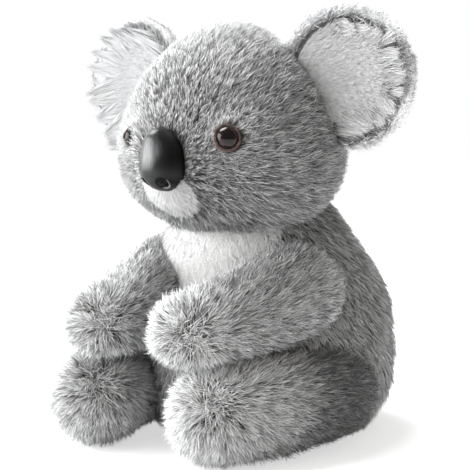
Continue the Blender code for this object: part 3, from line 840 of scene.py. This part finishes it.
# Stuffed pelts and what fills them
for body, surface, around, along, depth in (
    ("torso", torso, 180, 90, torso_depth), ("head", head, 168, 96, head_depth),
):
    pelt = closed_form(f"{body}_pelt", surface, around, along, depth, grey_backing, body, rear=rear)
    stand_in(f"{body}_skin", "grey_fur")
for name, side in SIDES:
    for kind in LIMBS:
        pelt = closed_form(f"{kind}_pelt_{name}", limb(kind, side), 96, 96, limb_depth,
                           grey_backing, f"{kind}_{name}", rear=rear)
        stand_in(f"{kind}_skin_{name}", "grey_fur")
        fill = closed_form(f"{kind}_fill_{name}", limb(kind, side), 48, 40, fill_depth, fibre,
                           f"{kind}_{name}")
        stand_in(f"{kind}_stuffing_{name}", "fibre")
    pad = closed_form(f"ear_pad_{name}", ear(side), 120, 64, ear_depth, ear_backing,
                      f"ear_{name}", rim=ear_rim)
    stand_in(f"ear_back_{name}", "dark_grey_fur")
    lining = patch(f"ear_lining_cloth_{name}", ear_front(side), (0.048, 0.056), -0.005,
                   (0.0024, 0.0046), white_backing, f"ear_{name}", -0.007 * side)
    stand_in(f"ear_lining_{name}", "white_pile")
for name, surface, depth, body, node, slot, material in (
    ("torso_fill", torso, fill_depth, "torso", "torso_stuffing", "fibre", fibre),
    ("head_fill", head, fill_depth, "head", "head_stuffing", "fibre", fibre),
    ("neck_wad", ball((0, 0.014, 0.150), (0.016, 0.016, 0.016)), no_depth, "neck",
     "neck_stuffing", "fibre", fibre),
    ("seat_pouch", ball((0, 0.016, 0.0148), (0.056, 0.056, 0.012)), no_depth, "torso",
     "bean_pouch", "pouch_cloth", pouch_cloth),
):
    fill = closed_form(name, surface, 64, 40, depth, material, body, 0.0028)
    stand_in(node, slot)
bib = patch("bib_cloth", torso_front, (0.076, 0.110), 0.102, (0.0004, 0.0030), white_backing,
            "torso")
stand_in("chest_bib", "white_pile")
chin = patch("chin_cloth", head_front, (0.031, 0.026), 0.1485, (-0.0008, 0.0020), white_backing,
             "head")
stand_in("chin_patch", "white_pile")
for node in ("eye_washer_left", "eye_washer_right", "nose_washer"):
    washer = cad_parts[node]
    washer.data.materials.clear()
    washer.data.materials.append(washer_moulding)

# Eyes and their rings
for name, side in SIDES:
    middle, way = eye_seats[side]
    dome = [(0.0064 * cos(a), 0.0009 + 0.0050 * sin(a)) for a in np.linspace(pi / 2, 0, 20)]
    eye = turned(f"eye_dome_{name}",
                 [(0, dome[0][1]), *dome[1:], (0.0062, 0.0006), (0.0016, 0.0006),
                  (0.0015, 0.0004), (0.0015, -0.0103), (0.0013, -0.0105), (0, -0.0105)],
                 (middle, way), eye_moulding, "head")
    stand_in(f"eye_{name}", "eye_plastic")
    edge = [(0.0074 + 0.0006 * cos(a), 0.0003 + 0.0009 * sin(a))
            for a in np.linspace(pi / 2, -pi / 2, 8)]
    ring = turned(f"eye_suede_{name}",
                  [(0, 0.0005), (0.0050, 0.0005), (0.0060, 0.0008), *edge, (0.0050, -0.0006),
                   (0, -0.0006)],
                  (middle, way), suede, "head")
    stand_in(f"eye_ring_{name}", "suede")


def nostril_share(x, z):
    """How far a place is inside a nostril, exp(-r^6), and on the lip round it, a Gaussian of
    r - 1.3, where r is the distance from its middle over its size. The nostrils lean outwards.
    The third share is a pale crescent on the lower part of each lip: a painted glint."""
    deep, lip, under = 0.0, 0.0, 0.0
    for side in (-1, 1):
        across, upward = side * x - NOSTRIL[0], z - NOSTRIL[1]
        long, wide = upward * 0.85 + across * 0.53, across * 0.85 - upward * 0.53
        r = np.hypot(long / 0.0028, wide / 0.0021)
        deep, lip = deep + np.exp(-(r**6)), lip + np.exp(-(((r - 1.3) / 0.3) ** 2))
        # under is the painted glint, a pale crescent low on each lip.
        under = under + np.exp(-(((r - 1.12) / 0.17) ** 2)) * ease(
            -0.0006, -0.0020, upward - side * across)
    return deep, lip, under


def nose_form(turn, climb):
    """The nose: an egg with its broad end down, its back cut flat, and two nostrils pressed in.
    Its top leans forward and falls off towards the face."""
    share = np.abs(np.sin(climb * pi / 2))
    height = level_at(climb, NOSE_WIDEST, NOSE_RISE, NOSE_DROP)
    low = swell(share, 2.2, 2.0)
    wide = np.where(climb > 0, swell(share, 1.8, 1.9), low)
    thick = np.where(climb > 0, swell(share, 2.1, 2.0), low)
    x, out = (size * np.sign(way) * np.abs(way) ** 0.85
              for size, way in ((NOSE_HALF_WIDTH * wide, np.cos(turn)),
                                (-NOSE_DEPTH * thick, np.sin(turn))))
    deep, lip, _ = nostril_share(x, height)
    out = out + (0.0002 * lip - 0.0042 * deep) * (out > 0)
    lean, front = ease(0.170, 0.1858, height), np.sqrt(np.clip(-np.sin(turn), 0, 1))
    ahead = np.minimum(NOSE_FOOT - out, NOSE_BACK) - 0.0065 * lean * front
    return np.stack([x, ahead, height - 0.0050 * lean * (1 - front) ** 2], -1)


def nose_mesh(columns=145, rows=119):
    """The nose's points and faces: upright columns round its front, closed by a flat back and by a
    point at each end."""
    turns, climbs = np.meshgrid(np.linspace(-pi, 0, columns), np.linspace(-1, 1, rows + 2)[1:-1],
                                indexing="ij")
    points = np.concatenate([nose_form(turns, climbs).reshape(-1, 3), NOSE_ENDS])
    bottom, top, last = columns * rows, columns * rows + 1, (columns - 1) * rows
    i, j = np.arange(columns - 1) * rows, np.arange(rows - 1)
    front = (i[:, None] + j).reshape(-1, 1) + (0, rows, rows + 1, 1)
    bottom_cap = np.stack([np.full(columns - 1, bottom), i + rows, i], 1)
    top_cap = np.stack([np.full(columns - 1, top), i + rows - 1, i + 2 * rows - 1], 1)
    back = np.stack([last + j, j, j + 1, last + j + 1], 1)
    back_caps = np.array([(bottom, 0, last), (top, last + rows - 1, rows - 1)])
    return points, [front, bottom_cap, top_cap, back, back_caps]


points, faces = nose_mesh()
x, y, z = points.T
# The painted highlight: high on the front of the nose, a little towards its right side.
bloom = np.exp(-(((x + 0.0015) / 0.0092) ** 4) - ((z - 0.1720) / 0.0115) ** 2)
nostril, _, worn = nostril_share(x, z)
nose = build("nose_moulding", points, faces, nose_moulding, "head", bloom=bloom,
             nostril=np.clip(nostril, 0, 1), worn=np.clip(worn, 0, 1))
stand_in("nose", "charcoal_plastic")

# Pile on the head
rng = np.random.default_rng(11)
points, normals = spread_spots(head, 3.1, rng)
eye_gap, nose_gap, chin_gap = from_eyes(points), from_nose(points), from_chin(points)
keep = ((eye_gap > 0.0073) & (nose_gap > -0.002) & (chin_gap > 0.0)
        & ((torso_gap(points) > -0.006) | (points[:, 2] > 0.150))
        & (rng.random(len(points)) < 1 - 0.40 * ease(-0.030, 0.010, points[:, 1])))
points, normals, eye_gap, nose_gap = points[keep], normals[keep], eye_gap[keep], nose_gap[keep]
lay = points - NOSE_SPOT + (0, 0, 0.01)
lay = unit(lay) + (0, 0.5, 0)
for spot, _ in eye_seats.values():
    away = points - spot
    near = np.exp(-((np.linalg.norm(away, axis=1) / 0.011) ** 2))[:, None]
    lay = lay * (1 - near) + unit(away) * near
short = np.minimum(ease(0.004, 0.035, nose_gap), ease(0.004, 0.022, eye_gap))
short = np.maximum(short, 0.7 * ease(0.144, 0.134, points[:, 2]))
jowl = ease(0.172, 0.140, points[:, 2]) * short
socket = ease(0.020, 0.008, eye_gap)
fluff = np.exp(-(((points[:, 0] + 0.0200) / 0.0062) ** 2)
               - ((points[:, 2] - 0.178) / 0.013) ** 2) * (points[:, 1] < 0)
nape = ease(0.000, 0.040, points[:, 1])
length = 0.0044 + 0.0048 * short + 0.0036 * jowl + 0.0016 * socket + 0.0054 * fluff
length += 0.0014 * nape
calm = np.clip(ease(0.222, 0.240, points[:, 2]) + ease(-0.018, -0.040, points[:, 0]), 0, 1)
brow = ease(0.0110, 0.0088, eye_gap) * ease(0.0025, 0.0055, points[:, 2] - EYE_SPOT[1])
# Tone of the head's pile. The brow over each eye, a lighter ring round it and the random tone are
# the fur's own colour. The rest is painted light and shade: lighter at the crown and on the right
# cheek, darker low on the face and over the forehead, and darker where the surface faces the key
# light. It is also a little lighter round the sides.
head_tone_and_painted_light = 0.70 * brow + 0.10 * socket - 0.20 + 0.16 * ease(0.212, 0.245, points[:, 2])
head_tone_and_painted_light += 0.10 * ease(-0.018, -0.040, points[:, 0]) - 0.05 * ease(0.190, 0.170, points[:, 2])
head_tone_and_painted_light += rng.normal(0, 0.08, len(points)) - 0.15 * painted_shade_on_lit_side(normals)
head_tone_and_painted_light -= 0.08 * np.exp(-(((points[:, 2] - 0.205) / 0.018) ** 2)) * (points[:, 1] < 0)
head_tone_and_painted_light += 0.14 * ease(-0.020, 0.000, points[:, 1]) * ease(0.045, 0.020, points[:, 1])
ruffle = ease(-0.025, 0.010, points[:, 1])
lift = 0.34 + 0.10 * np.sin(points[:, 0] * 160) * np.sin(points[:, 2] * 140)
lift += 0.25 * (jowl + socket) + 0.25 * ease(-0.050, -0.010, points[:, 1]) + 0.60 * fluff
lift += 0.22 * nape
y = points[:, 1]
for label, chosen in (("face", y < -0.048), ("crown", y > -0.008),
                      ("sides", (y >= -0.048) & (y <= -0.008))):
    made = pile(f"head_pile_{label}", (points[chosen], normals[chosen]), lay[chosen],
                length[chosen], lift[chosen], head_depth(points[chosen]), grey_pile, "head",
                np.random.default_rng(12), width=0.00038, tuft=0.0020,
                gather=(0.70 - 0.40 * calm)[chosen], tuft_swing=(0.40 - 0.25 * calm)[chosen],
                swing=(0.2 + 0.5 * ruffle)[chosen],
                tuft_lift=(0.40 - 0.25 * calm + 0.3 * ruffle)[chosen], tone=head_tone_and_painted_light[chosen],
                tuft_tone=(0.42 - 0.32 * calm)[chosen], speck=(0.38 - 0.30 * calm)[chosen],
                levels=SHORT)

# Chin and bib
points, normals = spread_spots(head, 4.5, rng)
keep = from_chin(points) < 0.0008
keep &= from_nose(points) > -0.004
points, normals = points[keep], normals[keep]
made = pile("chin_pile", (points, normals), points - (0, -0.09, 0.150),
            0.0056, 0.65 - 0.45 * ease(0.152, 0.142, points[:, 2]), 0.0002, chin_fluff, "head",
            rng, width=0.00036, tuft=0.0022, gather=0.2, tuft_swing=0.2, swing=0.15,
            tuft_lift=0.15, tuft_tone=0.15, speck=0.10)
points, normals = spread_spots(torso, 2.4, rng)
keep = (bib_level(points) < 1.02) & (points[:, 2] < 0.152)
points, normals = points[keep], normals[keep]
made = pile("bib_pile", (points, normals), np.tile((0.0, 0.0, -1.0), (len(points), 1)),
            0.0060, 0.30, 0.0016, white_pile, "torso", rng, width=0.00036, tuft=0.0026,
            gather=0.15, tuft_swing=0.25, swing=0.2, tuft_lift=0.12, tuft_tone=0.05, levels=SHORT)

# Pile on the torso
points, normals = spread_spots(torso, 1.29, rng)
keep = rng.random(len(points)) < 1 - 0.35 * ease(0.050, 0.085, points[:, 1])
keep &= (bib_level(points) > 0.97) & (head_gap(points) > -0.008) & (points[:, 2] > 0.002)
for _, side in SIDES:
    for kind in LIMBS:
        keep &= limb_gap(kind, side, points) > -0.008
points, normals = points[keep], normals[keep]
lay = np.tile((0.0, 0.15, -1.0), (len(points), 1))
low = ease(0.160, 0.030, points[:, 2]) * ease(-0.02, 0.02, points[:, 1])
hump = np.exp(-(((points[:, 2] - 0.096) / 0.016) ** 2)) * ease(0.02, 0.05, points[:, 1])
length = 0.0105 + 0.0022 * low - 0.0022 * hump
lift = 0.75 + 0.10 * low - 0.20 * hump
# between makes the pile lighter low on the front between the legs, which is painted light that
# lifts the shade there. The torso's pile is also painted darker where it faces the key light
# (painted shade).
between = (np.exp(-((points[:, 0] / 0.030) ** 4)) * ease(-0.02, -0.05, points[:, 1])
           * ease(0.075, 0.060, points[:, 2]))
behind = points[:, 1] > 0.045
for label, chosen in (("front", ~behind), ("back", behind)):
    made = pile(f"torso_pile_{label}", (points[chosen], normals[chosen]), lay[chosen],
                length[chosen], lift[chosen], torso_depth(points[chosen]), grey_pile, "torso",
                np.random.default_rng(13), width=0.00042, tuft=0.0025, gather=0.58,
                tuft_swing=0.35, tuft_lift=0.25,
                tone=(0.06 - 0.22 * painted_shade_on_lit_side(normals) + 0.4 * between)[chosen], tuft_tone=0.24,
                speck=0.18)

# Pile on the limbs, which lies away from a swirl on each paw and foot
for name, side in SIDES:
    for kind in LIMBS:
        rng = np.random.default_rng(20 + side + (5 if kind == "arm" else 9))
        points, normals = spread_spots(limb(kind, side), 2.13 if kind == "arm" else 1.90, rng)
        keep = torso_gap(points) > -0.010
        keep |= points[:, 2] > 0.150
        if kind == "leg":
            keep &= points[:, 2] > 0.003
        points, normals = points[keep], normals[keep]
        spot = np.array(SWIRLS[kind][0 if side > 0 else 1]) * (side, 1, 1)
        away = points - spot
        far = np.linalg.norm(away, axis=1)
        lay = unit(away)
        combed = ease(0.0, 0.035, far)
        lift = 1.02 - 0.48 * combed
        if kind == "leg":
            pressed = ease(0.0590, 0.0597, points[:, 2]) * ease(-0.095, -0.085, points[:, 1])
        else:
            pressed = ease(0.0613, 0.0606, points[:, 2])
        lift = lift * (1 - pressed) + 0.35 * pressed
        middle = ease(0.016, 0.002, far)
        length = 0.0102 + 0.001 * middle + 0.0014 * combed
        # Tone: lighter in each swirl's middle. Then painted light and shade: lighter on the left
        # paw and foot near the swirl, darker on the right limbs and where they face the key light,
        # and on the legs darker back from the foot, lighter again at the far end.
        tone = 0.25 * middle + 0.10 * ease(0.060, 0.020, far) * (side > 0)
        tone -= 0.04 * (side < 0) + 0.24 * painted_shade_on_lit_side(normals)
        if kind == "leg":
            tone += 0.10 - 0.66 * ease(0.035, 0.080, far) + 0.36 * ease(0.115, 0.150, far)
        made = pile(f"{kind}_pile_{name}", (points, normals), lay, length, lift,
                    limb_depth(points), grey_pile, f"{kind}_{name}", rng, width=0.00040,
                    tuft=0.0024, gather=0.75 - 0.20 * combed,
                    tuft_swing=0.5 + 2.6 * middle - 0.15 * combed, swing=0.22 + 0.8 * middle,
                    tuft_lift=0.5 - 0.2 * combed, tone=tone,
                    tuft_tone=0.52 if kind == "arm" else 0.44,
                    speck=0.36 if kind == "arm" else 0.26)

# Ears: grey pile behind and round the rim, long white locks in front
for name, side in SIDES:
    rng = np.random.default_rng(40 + side)
    base = np.array((side * 0.046, -0.010, 0.198))
    points, normals = spread_spots(ear(side), 4.6, rng)
    local = in_ear(points, side)
    across, above = local[:, 0] * side, local[:, 2]
    reach = np.hypot(across, above)
    edge = ease(0.80, 1.0, reach)
    front = local[:, 1] < 0
    # shade marks grey strands set in front where shade falls, along the crease round the lining and
    # between the locks. This is painted shade, and those strands are toned darker still.
    if side > 0:
        shape = np.hypot((across - 0.02) / 0.82, above / 0.84)
        shade = (above < -0.58) & (across > -0.35) & (across < 0.72) & (reach > 0.80)
        shade |= (reach > 0.73) & (reach < 0.84) & (across > 0.0)
        shade |= (reach > 0.56) & (reach < 0.73) & (across > 0.2) & (rng.random(len(reach)) < 0.3)
    else:
        shape = np.hypot((across + 0.16) / 0.73, (above + 0.12) / 0.88)
        shade = (reach > 0.62) & (reach < 0.80) & (across < 0.10) & (above > 0.3)
    shade &= front & (reach < 0.95)
    rim = np.where(front, (reach > 0.81) | (shape > 1.05), reach > 0.88) & ~shade
    rim &= head_gap(points) > -0.004
    behind = ~front & (reach < 0.96) & (rng.random(len(reach)) < 0.36)
    behind |= shade & (rng.random(len(reach)) < 0.7)
    behind &= head_gap(points) > -0.006
    made = pile(f"ear_pile_{name}", (points[behind], normals[behind]), (points - base)[behind],
                (0.0080 - 0.0035 * edge)[behind], (0.55 + 0.5 * edge)[behind],
                ear_depth(points[behind]), grey_pile, f"ear_{name}", rng, width=0.00040,
                tuft=0.0028, gather=0.4, tuft_swing=0.3, tuft_lift=0.3,
                tone=np.where(front, -0.22, 0.40 * edge)[behind])
    inward = ease(0.35, -0.30, across) * ease(0.0, 0.7, above)
    wave = 0.0008 * np.sin(np.arctan2(above, across) * 9 + side)
    # crease lowers the rim pile's tone towards the crease round the lining, which is painted shade.
    # Its terms on across lighten the rim at its inner and outer sides, which is painted light.
    crease = 0.40 * ease(0.92, 0.84, reach) * front - 0.12 * ease(0.5, -0.1, across)
    crease -= 0.14 * ease(0.4, 0.8, across)
    side_on = np.exp(-((local[:, 1] / 0.40) ** 2))[:, None]
    lay = unit(points - base) + side_on * rng.normal(0, 1.2, (len(points), 3))
    taller = 0.0060 * inward + 0.0040 * ease(0.3, 0.9, above) - 0.0018 * ease(0.7, 0.95, across)
    taller += 0.0035 * ease(-0.2, -0.7, above) * ease(0.0, 0.4, across)
    # The right ear faces the key light, so its rim pile is painted darker (painted shade), less so
    # towards its top.
    if side < 0:
        taller = -0.0022 * ease(0.3, 0.8, above)
        crease = 0.25 - 0.15 * ease(0.3, 0.8, above)
    made = pile(f"ear_rim_{name}", (points[rim], normals[rim]), lay[rim],
                (0.0042 + taller + wave)[rim], (1.15 - 0.35 * side_on[:, 0])[rim],
                ear_depth(points[rim]), pale_pile, f"ear_{name}", rng, width=0.00030,
                tuft=0.0024, gather=0.15, tuft_swing=0.3, swing=0.3, tuft_lift=0.2,
                tone=(0.22 - crease)[rim], tuft_tone=0.04, speck=0.05, levels=SHORT)
    keep = front & ~shade & (shape < 1) & (head_gap(points) > -0.004)
    points, normals, across, shape = points[keep], normals[keep], across[keep], shape[keep]
    above = above[keep]
    outward = unit(points - base) + (side * 0.6, 0, -0.45)
    inner = shape < 0.90
    made = pile(f"ear_lining_pile_{name}", (points[inner], normals[inner]), outward[inner],
                0.0048, 0.30, np.where(shape < 0.7, 0.0022, 0.0034)[inner],
                lining_pile if side > 0 else right_ear_pile_painted_darker, f"ear_{name}", rng, width=0.00030,
                tuft=0.0022, gather=0.5, tuft_swing=0.2, swing=0.12, tuft_lift=0.25,
                tuft_tone=0.35, speck=0.16, levels=SHORT)
    outer = ease(0.50, 1.0, shape) * ease(-0.6, 0.2, across - 0.2 * above)
    locks = (shape > (0.50 if side > 0 else 0.66)) & (rng.random(len(shape)) < 0.15 + 0.85 * outer)
    locks &= across > (-0.15 if side > 0 else -1)
    outer = outer[locks]
    room = 0.042 * np.clip(0.90 - np.hypot(across, above), 0.0, 0.25)[locks]
    angles, far_across, far_above = LEFT_LOCKS if side > 0 else RIGHT_LOCKS
    hearts = ear_front(side)(EAR_HALF[0] * far_across * np.cos(angles),
                             EAR_HALF[2] * far_above * np.sin(angles))
    if side > 0:
        length, lift, finish = 0.0045 + 0.35 * room, 0.35 + 0.35 * outer, lock_pile
        manner = {"width": 0.00036, "gather": 0.62, "tuft_swing": 0.5, "swing": 0.20,
                  "tuft_lift": 0.4, "droop": 0.5, "kink": 0.12, "tuft_tone": 0.25, "speck": 0.3}
    else:
        length, lift, finish = 0.0045 + 0.0080 * outer, 0.45, right_ear_pile_painted_darker
        manner = {"width": 0.00050, "gather": 0.85, "tuft_swing": 0.25, "swing": 0.03,
                  "tuft_lift": 0.15, "droop": 0.4, "kink": 0.03, "tuft_tone": 0.1, "speck": 0.05}
    made = pile(f"ear_locks_{name}", (points[locks], normals[locks]), outward[locks], length, lift,
                0.0024, finish, f"ear_{name}", rng, tuft=hearts, **manner)


# Floor, light and camera
def stage_finish():
    """White, with enough added for the camera that the floor away from the shadow is white."""
    finish = Finish("pale_floor", Roughness=1.0, Specular_IOR_Level=0.0,
                    Base_Color=(0.86, 0.86, 0.86, 1), Emission_Strength=1.0)
    seen = finish.add("ShaderNodeLightPath") + finish.add("ShaderNodeLightPath", out=3)
    where = finish.add("ShaderNodeTexCoord", out=3)
    away = finish.add("ShaderNodeVectorMath", {"operation": "LENGTH"}, {0: where}, 1)
    far = finish.add("ShaderNodeMapRange", {"interpolation_type": "SMOOTHSTEP"},
                     {"Value": away, "From Min": 0.3, "From Max": 1.6})
    return finish.paint(Emission_Color=seen * (0.60 + far * 0.25))


bpy.ops.mesh.primitive_plane_add(size=8)
floor = bpy.context.object
floor.name = "floor"
floor.data.materials.append(stage_finish())

back = np.array((sin(AZIMUTH) * cos(ELEVATION), -cos(AZIMUTH) * cos(ELEVATION), sin(ELEVATION)))
right = np.array((cos(AZIMUTH), sin(AZIMUTH), 0))
up = np.cross(back, right)


def look(obj, place, target):
    """Puts an object at a place and turns its -Z axis to a target."""
    obj.location = place
    way = Vector(target - place)
    obj.rotation_euler = way.to_track_quat("-Z", "Y").to_euler()


def soft_box(name, offset, size, watts, colour):
    """A square lamp at an offset from the koala, in the camera's right, up and back."""
    data = bpy.data.lights.new(name, "AREA")
    data.size, data.energy, data.color = size, watts, colour
    lamp = bpy.data.objects.new(name, data)
    bpy.context.scene.collection.objects.link(lamp)
    a, b, c = offset
    look(lamp, AIM + right * a + up * b + back * c, AIM)


soft_box("key_light", (-1.50, 0.20, 0.33), 1.5, 53.0, LAMP_TINT)
soft_box("edge_light", (-0.80, 0.80, -1.10), 0.8, 6.0, LAMP_TINT)
soft_box("top_light", (-0.55, 1.44, -0.25), 1.0, 42.0, LAMP_TINT)

world = bpy.data.worlds.new("pale_room")
bpy.context.scene.world = world
world.use_nodes = True
nodes, links = world.node_tree.nodes, world.node_tree.links
light_path = nodes.new("ShaderNodeLightPath")
strength = nodes.new("ShaderNodeMix")
strength.inputs[2].default_value = 0.38
strength.inputs[3].default_value = 1.0
seen = light_path.outputs["Is Camera Ray"]
links.new(seen, strength.inputs[0])
background = nodes["Background"]
tint = nodes.new("ShaderNodeMix")
tint.data_type = "RGBA"
tint.inputs[6].default_value = (1.0, 0.975, 0.945, 1)
tint.inputs[7].default_value = (1, 1, 1, 1)
links.new(seen, tint.inputs[0])
links.new(tint.outputs[2], background.inputs["Color"])
links.new(strength.outputs[0], background.inputs["Strength"])

data = bpy.data.cameras.new("photo_view")
data.angle = 2 * atan(VIEW_WIDTH_SHARE / 2)
camera = bpy.data.objects.new("photo_view", data)
bpy.context.scene.collection.objects.link(camera)
look(camera, AIM + back * DISTANCE, AIM)
bpy.context.scene.camera = camera
bpy.context.scene.view_settings.view_transform = "Standard"
